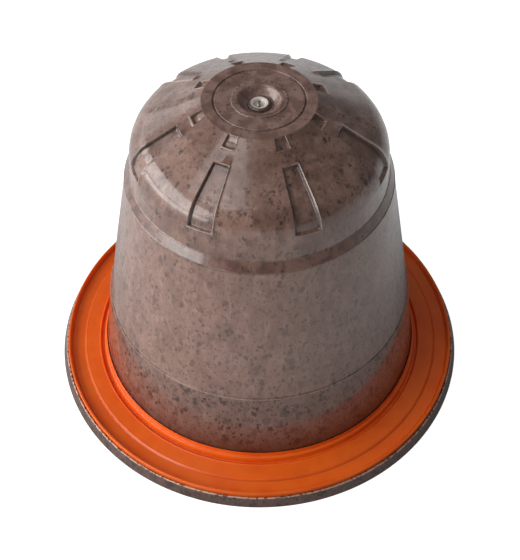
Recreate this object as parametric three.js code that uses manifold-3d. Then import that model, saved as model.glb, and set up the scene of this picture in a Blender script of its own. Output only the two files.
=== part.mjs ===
// Single-serve coffee pod: a moulded bioplastic cup standing on its sealed, flanged mouth.
// Millimetres, +Z up, origin at the middle of the lid's underside. Azimuth 0 points along -Y.
import * as THREE from "three";
import { mergeVertices } from "three/addons/utils/BufferGeometryUtils.js";
import Module from "manifold-3d";

const wasm = await Module();
wasm.setup();

// Lid film under the flange
const LID_THICKNESS = 0.1;
const LID_MARGIN = 0.3;

// Flange with its thin upstanding lip
const FLANGE_RADIUS = 18.5;
const FLANGE_THICKNESS = 0.5;
const LIP_RISE = 0.42;
const LIP_LEAN = 0.4;
const LIP_WIDTH = 0.12;

// Cup wall: two straight tapers that meet at the parting line
const WALL_FOOT_RADIUS = 14.4;
const PARTING_HEIGHT = 8.5;
const PARTING_RADIUS = 13.15;
const PARTING_STEP = 0.1;
const PARTING_BEVEL = 0.06;

// Bevelled ledge between the wall and the dome
const LEDGE_HEIGHT = 21.45;
const LEDGE_RADIUS = 10.8;
const LEDGE_RISE = 0.8;
const LEDGE_WIDTH = 0.44;

// Dome: a short upright wall, a rounded shoulder and a shallow cone
const DOME_WALL_RISE = 3.44;
const SHOULDER_RADIUS = 10.02;
const SHOULDER_FILLET = 2.7;
const DOME_RISE = 3.2;
const TOP_RADIUS = 4.38;

// Long sunk grooves down the dome, by azimuth in degrees
const GROOVE_AZIMUTHS = [-131, -70, -25.5, 20.5, 69.5, 131];
const GROOVE_HALF_ANGLE = 5.2;
const BACK_GROOVE_AZIMUTHS = [-161, 161];
const BACK_GROOVE_HALF_ANGLE = 3;
const GROOVE_DEPTH = 0.24;
const GROOVE_START = 2.05;
const GROOVE_DROP = 1.25;

// Short sunk notches around the top disc
const NOTCH_COUNT = 8;
const NOTCH_FIRST_AZIMUTH = 19.5;
const NOTCH_HALF_ANGLE = 5;
const NOTCH_DEPTH = 0.22;
const NOTCH_EDGE = 0.06;
const NOTCH_LENGTH = 0.78;

// Top disc: ring groove, low boss, dish and gate nub
const TOP_EDGE_BEVEL = 0.08;
const RING_GROOVE_RADIUS = 3.48;
const RING_GROOVE_WIDTH = 0.18;
const RING_GROOVE_DEPTH = 0.12;
const BOSS_RADIUS = 2.12;
const BOSS_RISE = 0.07;
const DISH_RADIUS = 1.62;
const DISH_DEPTH = 0.58;
const DISH_SAG = 0.12;
const NUB_FOOT_RADIUS = 0.88;
const NUB_RADIUS = 0.76;
const NUB_RISE = 0.2;
const CRATER_RADIUS = 0.5;
const CRATER_DEPTH = 0.18;

// Sealing ring on the flange, between the cup wall and the lip
const SEAL_CLEARANCE = 0.05;
const RIM_RISE = 0.83;
const RIM_WIDTH = 0.22;
const RIM_SLOPE = 0.12;
const CHANNEL_RISE = 0.36;
const PLATEAU_RISE = 0.57;
const PLATEAU_WIDTH = 1.34;
const PLATEAU_SLOPE = 0.2;
const GUTTER_DEPTH = 0.25;
const GUTTER_WIDTH = 0.2;
const BEAD_RISE = 0.87;
const BEAD_WIDTH = 0.3;
const COLLAR_RISE = 1.35;
const COLLAR_WIDTH = 0.06;

// Facets around the axis and along each rounded line
const ROUND_STEPS = 96;
const FILLET_STEPS = 7;
const DISH_STEPS = 4;

const FLANGE_TOP = LID_THICKNESS + FLANGE_THICKNESS;
const LIP_TOP = FLANGE_TOP + LIP_RISE;
const LIP_OUTER = FLANGE_RADIUS - LIP_LEAN;
const LIP_INNER = LIP_OUTER - LIP_WIDTH;
const LEDGE_TOP = LEDGE_HEIGHT + LEDGE_RISE;
const DOME_FOOT_RADIUS = LEDGE_RADIUS - LEDGE_WIDTH;
const SHOULDER_HEIGHT = LEDGE_TOP + DOME_WALL_RISE;
const TOP_HEIGHT = SHOULDER_HEIGHT + DOME_RISE;

const point = (radius, height) => new THREE.Vector2(radius, height);

// Radius of the lower cup wall at a height
function wallRadius(height) {
  const share = (height - FLANGE_TOP) / (PARTING_HEIGHT - FLANGE_TOP);
  return THREE.MathUtils.lerp(WALL_FOOT_RADIUS, PARTING_RADIUS + PARTING_STEP, share);
}

// Dome line from its foot to the top disc, moved inwards by an inset
function domeLine(inset) {
  const foot = point(DOME_FOOT_RADIUS, LEDGE_TOP);
  const corner = point(SHOULDER_RADIUS, SHOULDER_HEIGHT);
  const rim = point(TOP_RADIUS, TOP_HEIGHT);
  const down = foot.clone().sub(corner).normalize();
  const along = rim.clone().sub(corner).normalize();
  const half = Math.acos(down.dot(along)) / 2;
  const middle = down.clone().add(along).normalize();
  const centre = corner.clone().addScaledVector(middle, SHOULDER_FILLET / Math.sin(half));
  const wallInward = point(down.y, -down.x);
  const coneInward = point(-along.y, along.x);
  const from = Math.atan2(-wallInward.y, -wallInward.x);
  const to = Math.atan2(-coneInward.y, -coneInward.x);
  const line = [foot.clone().addScaledVector(wallInward, inset)];
  for (let i = 0; i <= FILLET_STEPS; i += 1) {
    const angle = THREE.MathUtils.lerp(from, to, i / FILLET_STEPS);
    const reach = SHOULDER_FILLET - inset;
    line.push(point(centre.x + reach * Math.cos(angle), centre.y + reach * Math.sin(angle)));
  }
  line.push(rim.clone().addScaledVector(coneInward, inset));
  return line;
}

// Turned solid or ring about the Z axis
function turned(profile) {
  const geometry = new THREE.LatheGeometry(profile, ROUND_STEPS);
  geometry.rotateX(Math.PI / 2);
  return geometry;
}

// Closed solid for cutting, with shared corners merged and slivers on the axis dropped
function solid(geometry) {
  const bare = geometry.clone();
  bare.deleteAttribute("normal");
  bare.deleteAttribute("uv");
  const merged = mergeVertices(bare, 1e-4);
  const index = merged.index.array;
  const triVerts = [];
  for (let i = 0; i < index.length; i += 3) {
    const [a, b, c] = [index[i], index[i + 1], index[i + 2]];
    if (a !== b && b !== c && c !== a) triVerts.push(a, b, c);
  }
  const mesh = new wasm.Mesh({
    numProp: 3,
    vertProperties: Float32Array.from(merged.attributes.position.array),
    triVerts: Uint32Array.from(triVerts),
  });
  return new wasm.Manifold(mesh);
}

function surface(shape) {
  const mesh = shape.getMesh();
  const geometry = new THREE.BufferGeometry();
  geometry.setAttribute("position", new THREE.BufferAttribute(mesh.vertProperties, 3));
  geometry.setIndex(new THREE.BufferAttribute(mesh.triVerts, 1));
  geometry.computeVertexNormals();
  return geometry;
}

// Upright sector block between two radii and two heights, centred on an azimuth in degrees
function sector(azimuth, halfAngle, inner, outer, low, high) {
  const corner = (radius, angle) => point(
    radius * Math.sin(THREE.MathUtils.degToRad(azimuth + angle)),
    -radius * Math.cos(THREE.MathUtils.degToRad(azimuth + angle)),
  );
  const outline = new THREE.Shape([
    corner(inner, -halfAngle),
    corner(outer, -halfAngle),
    corner(outer, halfAngle),
    corner(inner, halfAngle),
  ]);
  const block = new THREE.ExtrudeGeometry(outline, { depth: high - low, bevelEnabled: false });
  block.translate(0, 0, low);
  return solid(block);
}

// Ring between the dome moved in by a depth and a line clear of the dome
function domeSkin(depth) {
  const inner = domeLine(depth);
  const last = inner[inner.length - 1];
  inner.push(point(last.x, last.y + 2 * depth + 1));
  inner.push(point(DOME_FOOT_RADIUS + 1, last.y + 2 * depth + 1));
  inner.push(point(DOME_FOOT_RADIUS + 1, inner[0].y));
  inner.push(inner[0].clone());
  return solid(turned(inner.reverse()));
}

function grooveCuts() {
  const skin = domeSkin(GROOVE_DEPTH);
  const inner = TOP_RADIUS + GROOVE_START;
  const low = SHOULDER_HEIGHT - GROOVE_DROP;
  const cut = (azimuth, halfAngle) => skin.intersect(
    sector(azimuth, halfAngle, inner, DOME_FOOT_RADIUS + 2, low, TOP_HEIGHT + 1),
  );
  return [
    ...GROOVE_AZIMUTHS.map((azimuth) => cut(azimuth, GROOVE_HALF_ANGLE)),
    ...BACK_GROOVE_AZIMUTHS.map((azimuth) => cut(azimuth, BACK_GROOVE_HALF_ANGLE)),
  ];
}

function notchCuts() {
  const skin = domeSkin(NOTCH_DEPTH);
  const inner = TOP_RADIUS + NOTCH_EDGE;
  const outer = inner + NOTCH_LENGTH;
  return Array.from({ length: NOTCH_COUNT }, (_, i) => skin.intersect(sector(
    NOTCH_FIRST_AZIMUTH + (360 * i) / NOTCH_COUNT,
    NOTCH_HALF_ANGLE, inner, outer, SHOULDER_HEIGHT, TOP_HEIGHT + 1,
  )));
}

// Top disc line from its outer edge to the axis
function topDisc() {
  const boss = TOP_HEIGHT + BOSS_RISE;
  const bottom = boss - DISH_DEPTH;
  const nub = bottom + NUB_RISE;
  const line = [
    point(TOP_RADIUS - TOP_EDGE_BEVEL, TOP_HEIGHT),
    point(RING_GROOVE_RADIUS + RING_GROOVE_WIDTH / 2, TOP_HEIGHT),
    point(RING_GROOVE_RADIUS + RING_GROOVE_WIDTH / 6, TOP_HEIGHT - RING_GROOVE_DEPTH),
    point(RING_GROOVE_RADIUS - RING_GROOVE_WIDTH / 6, TOP_HEIGHT - RING_GROOVE_DEPTH),
    point(RING_GROOVE_RADIUS - RING_GROOVE_WIDTH / 2, TOP_HEIGHT),
    point(BOSS_RADIUS + BOSS_RISE / 2, TOP_HEIGHT),
    point(BOSS_RADIUS - BOSS_RISE / 2, boss),
    point(DISH_RADIUS, boss),
  ];
  for (let i = 1; i <= DISH_STEPS; i += 1) {
    const share = i / DISH_STEPS;
    const radius = THREE.MathUtils.lerp(DISH_RADIUS, NUB_FOOT_RADIUS, share);
    const sag = DISH_SAG * 4 * share * (1 - share);
    line.push(point(radius, THREE.MathUtils.lerp(boss, bottom, share) - sag));
  }
  line.push(point(NUB_RADIUS, nub));
  line.push(point(CRATER_RADIUS, nub));
  line.push(point(CRATER_RADIUS / 2, nub - CRATER_DEPTH));
  line.push(point(0, nub));
  return line;
}

// Cup with its flange, closed over the filling
function capsuleBody() {
  const outside = [
    point(0, LID_THICKNESS),
    point(FLANGE_RADIUS, LID_THICKNESS),
    point(LIP_OUTER, LIP_TOP),
    point(LIP_INNER, LIP_TOP),
    point(LIP_INNER, FLANGE_TOP),
    point(WALL_FOOT_RADIUS, FLANGE_TOP),
    point(PARTING_RADIUS + PARTING_STEP, PARTING_HEIGHT - PARTING_BEVEL),
    point(PARTING_RADIUS, PARTING_HEIGHT),
    point(LEDGE_RADIUS, LEDGE_HEIGHT),
    ...domeLine(0),
    ...topDisc(),
  ];
  const cuts = [...grooveCuts(), ...notchCuts()];
  return surface(cuts.reduce((body, cut) => body.subtract(cut), solid(turned(outside))));
}

// Sealing ring with an outer rim, a flat channel, a low plateau, a gutter and an inner bead
function sealingRing() {
  const seat = (radius, rise) => point(radius, FLANGE_TOP + rise);
  const inner = (rise) => wallRadius(FLANGE_TOP + rise) + SEAL_CLEARANCE;
  const outer = LIP_INNER - SEAL_CLEARANCE;
  const collar = inner(COLLAR_RISE) + COLLAR_WIDTH;
  const bead = collar + BEAD_WIDTH;
  const gutter = bead + GUTTER_WIDTH;
  const plateau = gutter + RIM_SLOPE + PLATEAU_WIDTH;
  return turned([
    seat(inner(0), 0),
    seat(outer, 0),
    seat(outer, RIM_RISE - RIM_SLOPE / 2),
    seat(outer - RIM_SLOPE / 2, RIM_RISE),
    seat(outer - RIM_WIDTH, RIM_RISE),
    seat(outer - RIM_WIDTH - RIM_SLOPE, CHANNEL_RISE),
    seat(plateau + PLATEAU_SLOPE, CHANNEL_RISE),
    seat(plateau, PLATEAU_RISE),
    seat(gutter + RIM_SLOPE, PLATEAU_RISE),
    seat(gutter, PLATEAU_RISE - GUTTER_DEPTH),
    seat(bead, PLATEAU_RISE - GUTTER_DEPTH),
    seat(bead - RIM_SLOPE, BEAD_RISE),
    seat(collar, BEAD_RISE),
    seat(collar - COLLAR_WIDTH / 2, COLLAR_RISE),
    seat(inner(COLLAR_RISE), COLLAR_RISE),
    seat(inner(0), 0),
  ]);
}

function lidFilm() {
  const radius = FLANGE_RADIUS - LID_MARGIN;
  return turned([
    point(0, 0),
    point(radius, 0),
    point(radius, LID_THICKNESS),
    point(0, LID_THICKNESS),
  ]);
}

function part(name, geometry, color, roughness) {
  const material = new THREE.MeshStandardMaterial({ color, roughness, metalness: 0, flatShading: true });
  const mesh = new THREE.Mesh(geometry, material);
  mesh.name = name;
  return mesh;
}

const group = new THREE.Group();
group.add(part("capsule_body", capsuleBody(), 0x8a7670, 0.4));
group.add(part("sealing_ring", sealingRing(), 0xc4501c, 0.45));
group.add(part("lid_film", lidFilm(), 0xb9a48c, 0.55));

export default group;
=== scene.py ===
"""Looks of a single-serve coffee pod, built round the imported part. Sizes below are in millimetres."""
import math

import bpy
import numpy as np
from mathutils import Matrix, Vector


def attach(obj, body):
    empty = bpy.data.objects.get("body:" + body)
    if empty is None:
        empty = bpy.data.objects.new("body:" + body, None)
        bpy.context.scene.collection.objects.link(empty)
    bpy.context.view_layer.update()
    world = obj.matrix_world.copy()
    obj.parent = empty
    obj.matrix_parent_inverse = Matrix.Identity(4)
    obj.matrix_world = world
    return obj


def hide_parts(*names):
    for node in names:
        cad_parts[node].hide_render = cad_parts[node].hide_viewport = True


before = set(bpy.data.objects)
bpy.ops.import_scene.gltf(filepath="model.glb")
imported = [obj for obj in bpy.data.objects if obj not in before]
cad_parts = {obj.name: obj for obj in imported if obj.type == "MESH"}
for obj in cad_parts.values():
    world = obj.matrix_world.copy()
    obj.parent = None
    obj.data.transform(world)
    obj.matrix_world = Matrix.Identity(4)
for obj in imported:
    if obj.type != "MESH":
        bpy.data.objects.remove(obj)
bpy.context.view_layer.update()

MM = 0.001

# Sizes shared with the solids
LID_THICKNESS, LID_RADIUS = 0.1, 18.2
FLANGE_RADIUS, FLANGE_TOP = 18.5, 0.6
LIP_OUTER, LIP_INNER, LIP_TOP = 18.1, 17.98, 1.02
WALL_FOOT_RADIUS = 14.4
PARTING_RADIUS, PARTING_HEIGHT, PARTING_STEP = 13.15, 8.5, 0.1
LEDGE_RADIUS, LEDGE_HEIGHT, LEDGE_RISE, LEDGE_WIDTH = 10.8, 21.45, 0.8, 0.44
SHOULDER_RADIUS, SHOULDER_HEIGHT, SHOULDER_FILLET = 10.02, 25.69, 2.7
TOP_RADIUS, TOP_HEIGHT = 4.38, 28.89
GROOVE_DEPTH, GROOVE_START, GROOVE_END = 0.24, 6.43, 24.44
GROOVES = [(azimuth, 5.2) for azimuth in (-131, -70, -25.5, 20.5, 69.5, 131)] + [(-161, 3.0), (161, 3.0)]
NOTCH_DEPTH, NOTCH_START, NOTCH_LENGTH = 0.22, 4.44, 0.78
NOTCHES = [(19.5 + 45 * i, 5.0) for i in range(8)]
BOSS_RISE, DISH_DEPTH = 0.07, 0.58
SEAL_CLEARANCE = 0.05

# Fillets: degrees per step, the same for fillets up to a tiny radius, and how far the guard points lie beyond the ends
ARC_STEP, TINY_FILLET, TINY_STEP, GUARD = 12.0, 0.1, 45, 0.03


def rounded(corners):
    """A line of (radius, height, fillet) corners as dense points.
    Each fillet is an arc with a guard point beyond each end."""
    out = []
    for i, (r, z, fillet) in enumerate(corners):
        here = np.array([r, z])
        if fillet <= 0 or i in (0, len(corners) - 1):
            out.append(here)
            continue
        a = np.array(corners[i - 1][:2]) - here
        b = np.array(corners[i + 1][:2]) - here
        la, lb = np.linalg.norm(a), np.linalg.norm(b)
        a, b = a / la, b / lb
        half = math.acos(float(np.clip(a @ b, -1, 1))) / 2
        reach = min(fillet / math.tan(half), 0.45 * la, 0.45 * lb)
        radius = reach * math.tan(half)
        middle = (a + b) / np.linalg.norm(a + b)
        centre = here + middle * radius / math.sin(half)
        start, end = here + a * reach, here + b * reach
        t0 = math.atan2(*(start - centre)[::-1])
        t1 = math.atan2(*(end - centre)[::-1])
        turn = (t1 - t0 + math.pi) % (2 * math.pi) - math.pi
        steps = max(2, math.ceil(abs(math.degrees(turn)) / (ARC_STEP if fillet > TINY_FILLET else TINY_STEP)))
        out.append(start + a * min(GUARD, 0.3 * la))
        for k in range(steps + 1):
            t = t0 + turn * k / steps
            out.append(centre + radius * np.array([math.cos(t), math.sin(t)]))
        out.append(end + b * min(GUARD, 0.3 * lb))
    keep = [out[0]]
    for p in out[1:]:
        if np.linalg.norm(p - keep[-1]) > 1e-4:
            keep.append(p)
    return np.array(keep)


def subdivided(line, longest):
    """The same line with no step longer than given."""
    out = [line[0]]
    for a, b in zip(line[:-1], line[1:]):
        n = max(1, math.ceil(np.linalg.norm(b - a) / longest))
        out += [a + (b - a) * k / n for k in range(1, n + 1)]
    return np.array(out)


def with_rows(line, wanted):
    """Adds points where the line crosses each wanted (axis, value): axis 0 is the radius and 1 the height."""
    for axis, value in wanted:
        for i in range(len(line) - 1):
            a, b = line[i], line[i + 1]
            if (a[axis] - value) * (b[axis] - value) < 0:
                t = (value - a[axis]) / (b[axis] - a[axis])
                if 0.02 < t < 0.98 or np.linalg.norm(b - a) > 0.02:
                    line = np.insert(line, i + 1, a + (b - a) * t, axis=0)
                break
    return line


def inward_normals(line):
    """Unit normals of the line, pointing to the left of its direction: inwards when it climbs the outside."""
    d = np.gradient(line, axis=0)
    d /= np.linalg.norm(d, axis=1)[:, None]
    return np.stack([-d[:, 1], d[:, 0]], 1)


# Least gap between the columns of plain rows, in degrees
SPARSE_STEP = 1.6


def revolve(name, line, azimuths, sunk=None, plain=None):
    """A mesh turned about Z. The line closes on itself, or starts and ends on the axis.
    sunk moves points inwards. plain marks the rows that need only sparse columns.
    Also gives each point's row and column."""
    every = np.arange(len(azimuths))
    few = [0]
    for i in every[1:]:
        if azimuths[i] - azimuths[few[-1]] >= SPARSE_STEP:
            few.append(i)
    on_axis = line[:, 0] < 1e-6
    closed = not on_axis[0]
    if closed:
        line = line[:-1]
        on_axis = on_axis[:-1]
    normals = inward_normals(line)
    a = np.radians(azimuths)
    points, places, rings = [], [], []
    for i, (r, z) in enumerate(line):
        used = few if plain is not None and plain[i] else every
        if on_axis[i]:
            rings.append({int(c): len(points) for c in used})
            points.append((0.0, 0.0, z))
            places.append((i, 0))
            continue
        rings.append({int(c): len(points) + k for k, c in enumerate(used)})
        for c in used:
            push = 0.0 if sunk is None else sunk[i, c]
            radius = r + normals[i, 0] * push
            points.append((radius * math.sin(a[c]), -radius * math.cos(a[c]), z + normals[i, 1] * push))
            places.append((i, c))
    faces = []
    pairs = list(zip(rings[:-1], rings[1:])) + ([(rings[-1], rings[0])] if closed else [])
    for low, high in pairs:
        shared = sorted(low.keys() & high.keys())
        for c, d in zip(shared, shared[1:] + shared[:1]):
            span = range(c, d + 1) if d > c else [*range(c, len(azimuths)), *range(0, d + 1)]
            corners = [low[e] for e in span if e in low] + [high[e] for e in reversed(span) if e in high]
            corners = list(dict.fromkeys(corners))
            if len(corners) > 2:
                faces.append(corners)
    mesh = bpy.data.meshes.new(name)
    mesh.from_pydata([tuple(c * MM for c in p) for p in points], [], faces)
    mesh.polygons.foreach_set("use_smooth", [True] * len(mesh.polygons))
    obj = bpy.data.objects.new(name, mesh)
    bpy.context.scene.collection.objects.link(obj)
    return obj, np.array(places)


# Half the width of a groove's slanted side, in degrees, and of its end walls, in millimetres
SIDE, END = 0.45, 0.06
# Height of the fine raised line along a groove's edge
BURR = 0.04
# Place and half width of that line, and of the painted shade where the groove's walls meet its floor, in the same half
# widths from the edge
LINE_AT, LINE_HALF = -1.75, 0.55
RECESS_SHADE_AT, RECESS_SHADE_HALF = 0.5, 2.0
# Where rows and columns cluster across the edge of a groove, in half widths of its slanted side
BENDS = (-1.6, -1.25, -1.0, -0.75, -0.4, 0.4, 0.75, 1.0, 1.25, 1.5, 1.75, 2.0, 2.3)


def azimuth_columns(edges, base_step):
    """Azimuths in degrees: even ones, and a cluster across each wanted edge."""
    marks = [e + side * k * SIDE for e, side in edges for k in BENDS]
    marks = sorted((m + 180) % 360 - 180 for m in marks)
    fill = [-180 + base_step * i for i in range(round(360 / base_step))]
    marks_array = np.array(marks)
    kept = [f for f in fill if np.abs((marks_array - f + 180) % 360 - 180).min() > 0.4 * base_step]
    every = sorted(marks + kept)
    out = [every[0]]
    for v in every[1:]:
        if v - out[-1] > 0.04:
            out.append(v)
    return np.array(out)


def slope(x):
    """0 to 1 in a straight line for x from -1 to 1, with both bends softened."""
    bend = 0.6
    t = np.clip(x, -1 - bend, 1 + bend)
    low = (t + 1 + bend) ** 2 / (8 * bend)
    high = 1 - (1 + bend - t) ** 2 / (8 * bend)
    return np.where(t < -1 + bend, low, np.where(t > 1 - bend, high, (t + 1) / 2))


def sunk_depth(line, azimuths):
    """How far each point of the dome sinks for the grooves and notches.
    Also how deep it lies where a cut's walls meet its floor, for painted shade, and how near a raised line, for a
    painted highlight, from 0 to 1."""
    r, z = line[:, 0], line[:, 1]
    on_dome = (z > LEDGE_HEIGHT + LEDGE_RISE)[:, None]

    def cut(cuts, depth, upper, lower):
        """upper and lower: how far inside each end of the cut a row lies, in END units."""
        centres, halves = np.array(cuts).T
        gap = (azimuths[None, :] - centres[:, None] + 180) % 360 - 180
        nearest = np.argmin(np.abs(gap) - halves[:, None], axis=0)
        gap = gap[nearest, np.arange(len(azimuths))][None, :]
        inside = (halves[nearest][None, :] - np.abs(gap)) / SIDE
        rows = np.minimum(upper, lower)[:, None]
        reach = np.minimum(inside, rows)
        raised_side = (gap > 0) | ((rows < inside) & (lower <= upper)[:, None])
        # The raised line, which the material also paints with a highlight
        edge = np.clip(1 - np.abs(reach - LINE_AT) / LINE_HALF, 0, 1) * raised_side
        depth_in = np.minimum(inside, upper[:, None])
        # Painted shade where the walls meet the floor of the cut
        painted_recess_shade = np.clip(1 - np.abs(depth_in - RECESS_SHADE_AT) / RECESS_SHADE_HALF, 0, 1) * (lower > 0)[:, None]
        return depth * slope(inside) * slope(rows) - BURR * edge, painted_recess_shade, edge

    long_part, long_recess_shade, long_edge = cut(
        GROOVES, GROOVE_DEPTH, (r - GROOVE_START) / END, (z - GROOVE_END) / END)
    open_end = (r > NOTCH_START - 0.02)[:, None]
    short_part, short_recess_shade, short_edge = (value * open_end for value in cut(
        NOTCHES, NOTCH_DEPTH, (r - NOTCH_START + 0.1) / END, (NOTCH_START + NOTCH_LENGTH - r) / END))
    deeper = np.where(np.abs(long_part) > np.abs(short_part), long_part, short_part)
    painted_recess_shade = np.maximum(long_recess_shade, 0.35 * short_recess_shade) * on_dome
    return deeper * on_dome, painted_recess_shade, np.maximum(long_edge, 0.4 * short_edge) * on_dome


def cup():
    """The moulded cup: flange and lip, tapered wall, parting step, ledge, dome and top disc."""
    boss = TOP_HEIGHT + BOSS_RISE
    bottom = boss - DISH_DEPTH
    outer = rounded([
        # Flange, lip and foot of the wall
        (0, LID_THICKNESS, 0),
        (FLANGE_RADIUS, LID_THICKNESS, 0.05),
        (LIP_OUTER, LIP_TOP, 0.05),
        (LIP_INNER, LIP_TOP, 0.04),
        (LIP_INNER, FLANGE_TOP, 0.02),
        (WALL_FOOT_RADIUS, FLANGE_TOP, 0.05),
        # Parting step
        (PARTING_RADIUS + PARTING_STEP, PARTING_HEIGHT - 0.09, 0.02),
        (PARTING_RADIUS + PARTING_STEP + 0.02, PARTING_HEIGHT - 0.05, 0.01),
        (PARTING_RADIUS - 0.04, PARTING_HEIGHT, 0.01),
        (PARTING_RADIUS - 0.04, PARTING_HEIGHT + 0.04, 0.01),
        (PARTING_RADIUS - 0.01, PARTING_HEIGHT + 0.08, 0.03),
        # Ledge
        (LEDGE_RADIUS, LEDGE_HEIGHT - 0.05, 0.01),
        (LEDGE_RADIUS + 0.04, LEDGE_HEIGHT, 0.015),
        (LEDGE_RADIUS - 0.03, LEDGE_HEIGHT + 0.05, 0.01),
        (LEDGE_RADIUS - LEDGE_WIDTH, LEDGE_HEIGHT + LEDGE_RISE - 0.01, 0.01),
        (LEDGE_RADIUS - LEDGE_WIDTH + 0.03, LEDGE_HEIGHT + LEDGE_RISE + 0.04, 0.015),
        (LEDGE_RADIUS - LEDGE_WIDTH - 0.03, LEDGE_HEIGHT + LEDGE_RISE + 0.09, 0.01),
        # Dome, top disc and ring groove
        (SHOULDER_RADIUS, SHOULDER_HEIGHT, SHOULDER_FILLET),
        (TOP_RADIUS, TOP_HEIGHT - 0.01, 0.08),
        (3.57, TOP_HEIGHT, 0.03),
        (3.51, TOP_HEIGHT - 0.12, 0.02),
        (3.45, TOP_HEIGHT - 0.12, 0.02),
        (3.39, TOP_HEIGHT, 0.04),
        # Boss and dish
        (2.17, TOP_HEIGHT, 0.02),
        (2.12, boss, 0.06),
        (2.02, boss - 0.02, 0.05),
        (1.66, boss, 0.25),
        (1.42, boss - 0.3, 0.6),
        (1.12, bottom - 0.02, 0.4),
        # Gate nub, crater and pip
        (0.9, bottom - 0.03, 0.03),
        (0.86, bottom + 0.12, 0.08),
        (0.7, bottom + 0.22, 0.14),
        (0.5, bottom + 0.16, 0.05),
        (0.4, bottom - 0.02, 0.06),
        (0.16, bottom - 0.03, 0.05),
        (0.07, bottom + 0.1, 0.04),
        (0, bottom + 0.12, 0),
    ])
    line = subdivided(outer, 1.5)
    on_dome = line[:, 1] > LEDGE_HEIGHT + LEDGE_RISE
    marks = [(0, GROOVE_START - k * END) for k in BENDS]
    marks += [(0, NOTCH_START + NOTCH_LENGTH + k * END) for k in BENDS]
    marks += [(1, GROOVE_END - k * END) for k in BENDS]
    first = int(np.argmax(on_dome))
    line = np.vstack([line[:first], with_rows(line[first:], marks)])
    edges = [(centre + side * half, side) for centre, half in GROOVES + NOTCHES for side in (-1, 1)]
    azimuths = azimuth_columns(edges, 2.0)
    sunk, painted_recess_shade, edge = sunk_depth(line, azimuths)
    plain = (line[:, 1] < LEDGE_HEIGHT + LEDGE_RISE + 0.3) | (line[:, 0] < NOTCH_START - 0.12)
    obj, places = revolve("cup", line, azimuths, sunk, plain)
    # Attributes for the material: painted shade in the grooves and notches, and the raised lines, which get a painted
    # highlight
    for name, amount in (("painted_recess_shade", painted_recess_shade), ("edge", edge)):
        layer = obj.data.attributes.new(name, "FLOAT", "POINT")
        layer.data.foreach_set("value", amount[places[:, 0], places[:, 1]])
    return obj


def wall_radius(height):
    share = (height - FLANGE_TOP) / (PARTING_HEIGHT - FLANGE_TOP)
    return WALL_FOOT_RADIUS + share * (PARTING_RADIUS + PARTING_STEP - WALL_FOOT_RADIUS)


def seal():
    """The orange sealing ring with its outer rim, flat channel, low plateau, gutter and inner bead."""
    outer = LIP_INNER - SEAL_CLEARANCE
    rim, channel, plateau, bead_top, collar_top = 1.43, 0.96, 1.17, 1.47, 1.95
    collar = wall_radius(collar_top) + SEAL_CLEARANCE + 0.06
    bead = collar + 0.3
    gutter = bead + 0.2
    edge = gutter + 0.12 + 1.34
    corners = [
        (wall_radius(FLANGE_TOP) + SEAL_CLEARANCE, FLANGE_TOP, 0),
        (outer, FLANGE_TOP, 0.04),
        (outer, rim, 0.07),
        (outer - 0.22, rim, 0.08),
        (outer - 0.34, channel, 0.15),
        (edge + 0.2, channel, 0.08),
        (edge + 0.02, plateau - 0.02, 0.03),
        (edge - 0.06, plateau - 0.03, 0.03),
        (edge - 0.5, plateau - 0.01, 1.0),
        (gutter + 0.24, plateau - 0.01, 0.03),
        (gutter + 0.16, plateau + 0.02, 0.03),
        (gutter + 0.1, plateau - 0.02, 0.03),
        (gutter, plateau - 0.25, 0.05),
        (bead, plateau - 0.25, 0.05),
        (bead - 0.1, bead_top, 0.1),
        (collar, bead_top + 0.02, 0.05),
        (collar - 0.03, collar_top, 0.02),
        (wall_radius(collar_top) + SEAL_CLEARANCE, collar_top, 0.01),
        (wall_radius(FLANGE_TOP) + SEAL_CLEARANCE, FLANGE_TOP, 0),
    ]
    line = subdivided(rounded(corners), 1.0)
    return revolve("seal", line, np.arange(-180, 180, 1.0))[0]


def lid():
    """The film welded under the flange, with a faint pressed weld band."""
    corners = [
        (0, 0.02, 0), (13.6, 0.02, 0.3), (13.9, 0.0, 0.3), (LID_RADIUS, 0.0, 0.02),
        (LID_RADIUS, LID_THICKNESS, 0.02), (0, LID_THICKNESS, 0),
    ]
    return revolve("lid", subdivided(rounded(corners), 1.5), np.arange(-180, 180, 1.5))[0]


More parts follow.
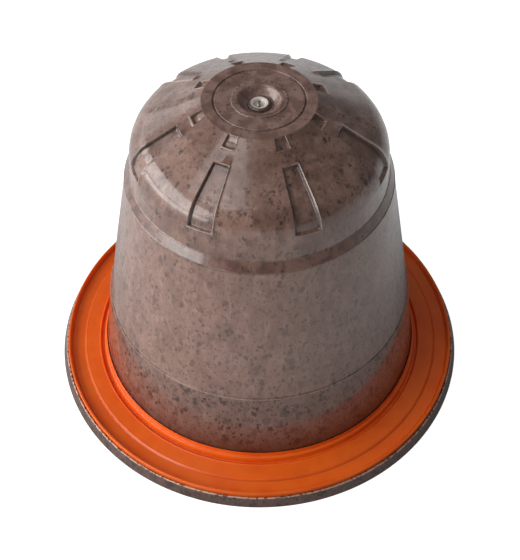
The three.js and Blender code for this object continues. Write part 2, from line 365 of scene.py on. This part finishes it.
class Nodes:
    """Short calls that add and link shader nodes in one tree. A value is a number, a socket or a node."""

    def __init__(self, tree):
        self.tree = tree

    def feed(self, socket, value):
        if isinstance(value, bpy.types.NodeSocket):
            self.tree.links.new(value, socket)
        elif isinstance(value, bpy.types.Node):
            self.tree.links.new(value.outputs[0], socket)
        else:
            socket.default_value = value

    def add(self, kind, inputs=(), **settings):
        node = self.tree.nodes.new(kind)
        for key, value in settings.items():
            setattr(node, key, value)
        for key, value in dict(inputs).items():
            self.feed(node.inputs[key], value)
        return node

    def math(self, operation, a, b=0.0, clamp=False):
        return self.add("ShaderNodeMath", {0: a, 1: b}, operation=operation, use_clamp=clamp)

    def times(self, a, b):
        return self.math("MULTIPLY", a, b)

    def mix(self, factor, a, b):
        node = self.tree.nodes.new("ShaderNodeMix")
        node.data_type = "RGBA"
        for socket, value in ((node.inputs["Factor"], factor), (node.inputs[6], a), (node.inputs[7], b)):
            self.feed(socket, value)
        return node.outputs[2]

    def tint(self, colour, mask, amount, other):
        """The colour, with a share of another one where the mask is."""
        return self.mix(self.times(mask, amount), colour, other)

    def ramp(self, value, low, high, start, end):
        """start below low, end above high, smooth between."""
        node = self.add("ShaderNodeMapRange", {
            "Value": value, "From Min": low, "From Max": high, "To Min": start, "To Max": end})
        node.interpolation_type = "SMOOTHSTEP"
        return node.outputs[0]

    def rise(self, value, low, high):
        return self.ramp(value, low, high, 0.0, 1.0)

    def fall(self, value, low, high):
        return self.ramp(value, low, high, 1.0, 0.0)

    def near(self, value, target, inner, outer):
        """1 up to inner away from the target, 0 beyond outer."""
        return self.fall(self.math("ABSOLUTE", self.math("SUBTRACT", value, target)), inner, outer)

    def bump(self, shader, height, strength, distance):
        """distance is in metres."""
        node = self.add("ShaderNodeBump", {"Height": height, "Strength": strength, "Distance": distance})
        self.feed(shader.inputs["Normal"], node)


def new_material(name):
    material = bpy.data.materials.new(name)
    material.use_nodes = True
    n = Nodes(material.node_tree)
    return material, n, n.tree.nodes["Principled BSDF"]


def srgb(r, g, b):
    """A linear colour from 0 to 255 display values."""
    def one(v):
        v /= 255
        return v / 12.92 if v <= 0.04045 else ((v + 0.055) / 1.055) ** 2.4
    return (one(r), one(g), one(b), 1.0)


def millimetres(n):
    """Object coordinates in millimetres."""
    place = n.add("ShaderNodeTexCoord").outputs["Object"]
    return n.add("ShaderNodeVectorMath", {0: place, "Scale": 1 / MM}, operation="SCALE").outputs[0]


def cylindrical(n, place):
    """A place's x, its distance from the pod's axis and its height."""
    xyz = n.add("ShaderNodeSeparateXYZ", {0: place})
    flat = n.add("ShaderNodeCombineXYZ", {"X": xyz.outputs[0], "Y": xyz.outputs[1]})
    radius = n.add("ShaderNodeVectorMath", {0: flat}, operation="LENGTH").outputs["Value"]
    return xyz.outputs[0], radius, xyz.outputs[2]


def flecks(n, place, turn, stretch, scale, share, size):
    """A mask of scattered irregular flecks.
    A share of the cells of a stretched pattern hold one each, of random size and depth."""
    wobble = n.add("ShaderNodeTexNoise", {"Vector": place, "Scale": scale * 1.6, "Detail": 2.0})
    shift = n.add("ShaderNodeVectorMath", {0: wobble.outputs["Color"], 1: (0.5, 0.5, 0.5)}, operation="SUBTRACT")
    shift = n.add("ShaderNodeVectorMath", {0: shift, "Scale": 1.1 / scale}, operation="SCALE")
    moved = n.add("ShaderNodeVectorMath", {0: place, 1: shift}, operation="ADD")
    mapped = n.add("ShaderNodeMapping", {"Vector": moved, "Rotation": turn, "Scale": stretch})
    cells = n.add("ShaderNodeTexVoronoi", {"Vector": mapped, "Scale": scale})
    pick = n.add("ShaderNodeSeparateColor", {"Color": cells.outputs["Color"]})
    chosen = n.math("MAXIMUM", n.math("SUBTRACT", pick.outputs[0], 1 - share), 0.0)
    limit = n.times(n.math("POWER", n.times(chosen, 1 / share), 0.6), size)
    edge = n.fall(cells.outputs["Distance"], n.times(limit, 0.5), n.math("ADD", limit, 0.001))
    depth = n.math("ADD", n.times(pick.outputs[1], 0.7), 0.3)
    return n.times(edge, depth)


EVEN = (1.0, 1.0, 1.0)


def mottle(n, place, stretch, scale, low, high):
    """A cloudy mask from stretched noise."""
    mapped = n.add("ShaderNodeMapping", {"Vector": place, "Scale": stretch})
    noise = n.add("ShaderNodeTexNoise", {
        "Vector": mapped, "Scale": scale, "Detail": 3.0, "Roughness": 0.6, "Distortion": 0.4})
    return n.rise(noise.outputs[0], low, high)


def bioplastic():
    """Taupe moulded bioplastic with streaky mottling and dark flecks, plainer and redder on the disc and the ledge."""
    material, n, shader = new_material("bioplastic")
    mm = millimetres(n)
    x, radius, height = cylindrical(n, mm)

    # Where the parts of the cup are
    ledge_top = LEDGE_HEIGHT + LEDGE_RISE
    high_up = n.rise(height, 27.0, 27.5)
    disc = n.times(n.fall(radius, 4.3, 4.5), high_up)
    nub = n.times(n.fall(radius, 0.62, 0.7), disc)
    crater = n.times(n.fall(radius, 0.4, 0.5), high_up)
    dome = n.rise(height, ledge_top, ledge_top + 0.1)
    ledge = n.times(
        n.rise(height, LEDGE_HEIGHT - 0.02, LEDGE_HEIGHT + 0.06), n.fall(height, ledge_top - 0.02, ledge_top + 0.06))
    foot = n.fall(height, PARTING_HEIGHT - 0.05, PARTING_HEIGHT + 0.05)
    # Masks for painted shade above the ring and on the flange, and for a painted highlight along the lip
    painted_foot_shade = n.times(n.fall(height, 1.2, 5.5), n.fall(radius, WALL_FOOT_RADIUS, WALL_FOOT_RADIUS + 0.2))
    flange = n.fall(height, 1.1, 1.3)
    lip = n.times(n.rise(radius, LIP_INNER - 0.08, LIP_INNER - 0.01), n.rise(height, LIP_TOP - 0.12, LIP_TOP - 0.04))

    # Mottled base
    base = n.mix(mottle(n, mm, (1.0, 1.0, 0.55), 0.5, 0.36, 0.64), srgb(130, 98, 85), srgb(146, 112, 99))
    base = n.mix(mottle(n, mm, (1.0, 1.0, 0.4), 1.5, 0.45, 0.75), base, srgb(158, 126, 113))
    base = n.tint(base, mottle(n, mm, (1.0, 1.0, 0.5), 3.4, 0.45, 0.68), 0.22, srgb(112, 88, 80))
    base = n.tint(base, foot, 0.35, srgb(104, 76, 68))
    base = n.tint(base, n.times(mottle(n, mm, EVEN, 0.4, 0.4, 0.6), dome), 0.5, srgb(84, 52, 38))

    # Flecks: patchy on the dome, weaker on the wall, with dark clumps at the foot
    large = flecks(n, mm, (0.3, 0.2, 0.5), (1.0, 1.0, 0.62), 1.35, 0.85, 0.5)
    middle = flecks(n, mm, (0.5, 0.4, 0.2), (1.4, 1.2, 0.7), 2.0, 0.9, 0.54)
    small = flecks(n, mm, (0.2, 1.3, 2.1), (1.3, 0.9, 0.8), 3.0, 0.75, 0.5)
    strokes = flecks(n, mm, (0.15, 0.1, 0.9), (3.0, 3.0, 0.8), 1.2, 0.75, 0.46)
    clumps = flecks(n, mm, (0.2, 0.3, 1.2), (1.0, 1.0, 0.7), 0.9, 0.85, 0.55)
    dark = n.times(large, 0.85)
    for mask, amount in ((middle, 0.9), (small, 0.9), (strokes, 0.8)):
        dark = n.math("MAXIMUM", dark, n.times(mask, amount))
    dark = n.times(dark, n.mix(n.times(dome, 0.7), (1, 1, 1, 1), mottle(n, mm, EVEN, 0.7, 0.4, 0.6)))
    dark = n.times(dark, n.math("ADD", n.times(n.math("MAXIMUM", foot, dome), 0.35), 0.75))
    dark = n.math("MAXIMUM", dark, n.times(n.times(clumps, foot), 0.85), clamp=True)
    colour = n.mix(dark, base, n.mix(foot, srgb(50, 31, 23), srgb(44, 28, 22)))

    # Painted shade on the flange, and the parts that differ from the wall
    colour = n.tint(colour, flange, 0.6, srgb(60, 44, 40))
    top = n.mix(mottle(n, mm, EVEN, 0.9, 0.35, 0.65), srgb(110, 80, 70), srgb(144, 113, 102))
    top = n.tint(top, small, 0.75, srgb(60, 40, 33))
    band = n.mix(mottle(n, mm, (1.0, 1.0, 0.6), 0.7, 0.4, 0.6), srgb(98, 68, 58), srgb(128, 96, 84))
    band = n.tint(band, middle, 0.9, srgb(52, 34, 28))
    colour = n.mix(disc, colour, top)
    colour = n.mix(ledge, colour, band)

    # Gate nub painted pale as a painted highlight, painted shade in a ring round it, and a mask for painted shade in
    # its crater, darkest across its middle
    colour = n.mix(nub, colour, srgb(226, 216, 207))
    # Painted shade in a ring round the nub
    colour = n.tint(colour, n.times(n.near(radius, 0.84, 0.08, 0.16), disc), 0.7, srgb(66, 47, 40))
    painted_crater_shade = n.times(crater, n.near(x, 0.0, 0.05, 0.13))
    painted_crater_shade = n.times(n.math("ADD", n.times(painted_crater_shade, 0.6), 0.3), crater)

    # Painted shade, tinted by a painted reflection of the orange ring, on the wall above the ring, painted shade in the
    # crater, a painted highlight along the lip, painted shade in the grooves, painted highlights on the raised lines
    # and the parting line, and painted shade under the ledge
    colour = n.tint(colour, painted_foot_shade, 0.85, srgb(48, 26, 20))
    # Painted shade in the crater
    colour = n.mix(painted_crater_shade, colour, srgb(70, 54, 47))
    # Painted highlight: a pale line along the lip's top, broken into patches
    colour = n.mix(n.times(lip, mottle(n, mm, EVEN, 3.0, 0.4, 0.52)), colour, srgb(208, 166, 144))
    # Painted shade in the grooves and notches
    painted_recess_shade = n.add("ShaderNodeAttribute", attribute_name="painted_recess_shade").outputs["Fac"]
    colour = n.tint(colour, painted_recess_shade, 0.8, srgb(30, 20, 17))
    # Painted highlight: pale lines on the raised lines along the grooves and on the parting line
    edge = n.add("ShaderNodeAttribute", attribute_name="edge").outputs["Fac"]
    parting = n.times(n.near(height, PARTING_HEIGHT - 0.05, 0.01, 0.035), 0.4)
    colour = n.tint(colour, n.math("MAXIMUM", edge, parting), 0.55, srgb(222, 204, 195))
    # Painted shade: a dark line under the ledge
    colour = n.tint(colour, n.near(height, LEDGE_HEIGHT - 0.08, 0.02, 0.09), 0.5, srgb(52, 36, 30))
    n.feed(shader.inputs["Base Color"], colour)

    # Satin under a thin gloss, duller on the disc and glossier on the nub
    rough = n.math("ADD", n.times(mottle(n, mm, EVEN, 1.5, 0.3, 0.7), 0.15), 0.25)
    rough = n.math("ADD", rough, n.times(disc, 0.15))
    rough = n.math("SUBTRACT", rough, n.times(nub, 0.23))
    n.feed(shader.inputs["Roughness"], rough)
    shader.inputs["IOR"].default_value = 1.5
    shader.inputs["Coat Weight"].default_value = 0.75
    shader.inputs["Coat Roughness"].default_value = 0.1
    ripple = n.add("ShaderNodeTexNoise", {"Vector": mm, "Scale": 2.4, "Detail": 4.0})
    n.bump(shader, ripple.outputs[0], 0.25, 0.00005)
    return material


# Radii of the sealing ring's creases, where shade is painted: in the gutter, at the foot of the plateau's step and at
# the foot of the rim
RING_CREASES = (14.83, 16.46, 17.56)


def orange_plastic():
    """Satin orange plastic with faint moulding haze, and painted shade in the creases."""
    material, n, shader = new_material("orange_plastic")
    mm = millimetres(n)
    radius = cylindrical(n, mm)[1]
    cloud = n.add("ShaderNodeTexNoise", {"Vector": mm, "Scale": 0.4, "Detail": 3.0})
    fine = n.add("ShaderNodeTexNoise", {"Vector": mm, "Scale": 5.0, "Detail": 3.0})
    colour = n.mix(n.rise(cloud.outputs[0], 0.35, 0.65), srgb(238, 96, 18), srgb(244, 106, 24))
    # Painted shade: dark lines along the creases
    for crease in RING_CREASES:
        colour = n.tint(colour, n.near(radius, crease, 0.02, 0.09), 0.4, srgb(146, 44, 8))
    n.feed(shader.inputs["Base Color"], colour)
    n.feed(shader.inputs["Roughness"], n.math("ADD", n.times(fine.outputs[0], 0.1), 0.26))
    n.bump(shader, fine.outputs[0], 0.06, 0.00004)
    return material


def film():
    """Pale compostable film with a fine fibre mottle."""
    material, n, shader = new_material("film")
    mm = millimetres(n)
    fibres = n.add("ShaderNodeTexNoise", {"Vector": mm, "Scale": 3.5, "Detail": 6.0, "Roughness": 0.7})
    cloud = n.add("ShaderNodeTexNoise", {"Vector": mm, "Scale": 0.5, "Detail": 2.0})
    colour = n.mix(n.rise(fibres.outputs[0], 0.35, 0.65), srgb(188, 168, 146), srgb(206, 190, 168))
    colour = n.mix(n.rise(cloud.outputs[0], 0.4, 0.7), colour, srgb(198, 178, 154))
    n.feed(shader.inputs["Base Color"], colour)
    shader.inputs["Roughness"].default_value = 0.55
    n.bump(shader, fibres.outputs[0], 0.25, 0.00006)
    return material


def floor():
    """Plain pale floor. The camera sees it white, a little less so in the pod's shadow.
    Mirrored rays see it glow, fading out close to the pod as a painted shadow."""
    half, drop = 3.0, -0.00003
    corners = [(x * half, y * half, drop) for x, y in ((-1, -1), (1, -1), (1, 1), (-1, 1))]
    mesh = bpy.data.meshes.new("floor")
    mesh.from_pydata(corners, [], [(0, 1, 2, 3)])
    obj = bpy.data.objects.new("floor", mesh)
    bpy.context.scene.collection.objects.link(obj)
    material, n, shader = new_material("floor")
    shader.inputs["Base Color"].default_value = (0.5, 0.5, 0.5, 1)
    shader.inputs["Roughness"].default_value = 0.9
    path = n.add("ShaderNodeLightPath").outputs
    place = n.add("ShaderNodeTexCoord").outputs["Object"]
    reach = n.add("ShaderNodeVectorMath", {0: place}, operation="LENGTH").outputs["Value"]
    # Painted shadow: the glow that mirrored rays see fades out near the pod
    mirrored = n.times(path["Is Glossy Ray"], n.times(n.rise(reach, 0.0185, 0.034), 0.36))
    seen = n.times(n.math("MAXIMUM", path["Is Camera Ray"], path["Is Transmission Ray"]), 0.95)
    glow = n.add("ShaderNodeEmission", {"Color": (1, 1, 1, 1), "Strength": n.math("MAXIMUM", seen, mirrored)})
    both = n.add("ShaderNodeAddShader", {0: shader, 1: glow})
    n.feed(n.tree.nodes["Material Output"].inputs["Surface"], both)
    obj.data.materials.append(material)


# Name, azimuth and elevation in degrees, width and height in metres, and level. Azimuth 0 is in front, towards -Y,
# and 90 to the right. A lamp of level 1 shows a surface that faces it in the colour it is written.
LAMP_DISTANCE = 0.5
LAMPS = [
    ("key", -80, 27, 0.75, 0.24, 1.0),
    ("low", -72, 5, 0.6, 0.1, 0.36),
    ("rim", -133, 16, 0.2, 0.12, 0.05),
    ("upper", -60, 65, 0.3, 0.2, 0.16),
]


def softbox(name, azimuth, elevation, width, height, level):
    """An area lamp aimed at the pod's middle."""
    a, e = math.radians(azimuth), math.radians(elevation)
    aim = Vector((0, 0, 0.012))
    away = Vector((math.sin(a) * math.cos(e), -math.cos(a) * math.cos(e), math.sin(e)))
    data = bpy.data.lights.new(name, "AREA")
    data.shape = "RECTANGLE"
    data.size, data.size_y = width, height
    data.energy = level * math.pi ** 2 * LAMP_DISTANCE ** 2
    lamp = bpy.data.objects.new(name, data)
    lamp.location = aim + LAMP_DISTANCE * away
    lamp.rotation_euler = away.to_track_quat("Z", "Y").to_euler()
    bpy.context.scene.collection.objects.link(lamp)


# Level of the world's light on the pod
AMBIENT = 0.18


def studio():
    """White background. Mirrored rays see it white low down, behind and to the left, and dim elsewhere."""
    world = bpy.data.worlds.new("studio")
    bpy.context.scene.world = world
    world.use_nodes = True
    n = Nodes(world.node_tree)
    path = n.add("ShaderNodeLightPath").outputs
    direction = n.add("ShaderNodeTexCoord").outputs["Generated"]
    rise = n.add("ShaderNodeSeparateXYZ", {0: direction}).outputs[2]
    towards_back_left = n.add("ShaderNodeVectorMath", {0: direction, 1: (-0.8, 0.6, 0.0)}, operation="DOT_PRODUCT")
    bright = n.times(n.fall(rise, 0.05, 0.22), n.rise(towards_back_left.outputs["Value"], -0.3, 0.5))
    seen = n.math("MAXIMUM", path["Is Camera Ray"], path["Is Transmission Ray"])
    seen = n.math("MAXIMUM", seen, n.times(path["Is Glossy Ray"], bright))
    background = n.tree.nodes["Background"]
    background.inputs["Color"].default_value = (1, 1, 1, 1)
    level = n.add("ShaderNodeMapRange", {"Value": seen, "To Min": AMBIENT, "To Max": 1.0})
    n.feed(background.inputs["Strength"], level)


# The photograph's longer side and the camera's focal length and middle column, in pixels
LONG_SIDE, FOCAL, MIDDLE = 560, 1059.2, 259.42
SENSOR_MM = 36


def camera():
    """The photograph's viewpoint."""
    distance, elevation, aim_height = 95.10, math.radians(49.95), 7.93
    data = bpy.data.cameras.new("camera")
    data.lens = FOCAL * SENSOR_MM / LONG_SIDE
    data.sensor_width = SENSOR_MM
    data.clip_start = 0.005
    data.clip_end = 20
    data.shift_x = (260 - MIDDLE) / LONG_SIDE
    obj = bpy.data.objects.new("camera", data)
    aim = Vector((0, 0, aim_height)) * MM
    obj.location = aim + distance * MM * Vector((0, -math.cos(elevation), math.sin(elevation)))
    obj.rotation_euler = (obj.location - aim).to_track_quat("Z", "Y").to_euler()
    bpy.context.scene.collection.objects.link(obj)
    bpy.context.scene.camera = obj


def dress(obj, node, material):
    """Puts a piece in the place of its CAD node."""
    obj.data.materials.append(material)
    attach(obj, "root")
    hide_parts(node)


dress(cup(), "capsule_body", bioplastic())
dress(seal(), "sealing_ring", orange_plastic())
dress(lid(), "lid_film", film())
floor()
for lamp_row in LAMPS:
    softbox(*lamp_row)
studio()
camera()
bpy.context.scene.view_settings.view_transform = "Standard"
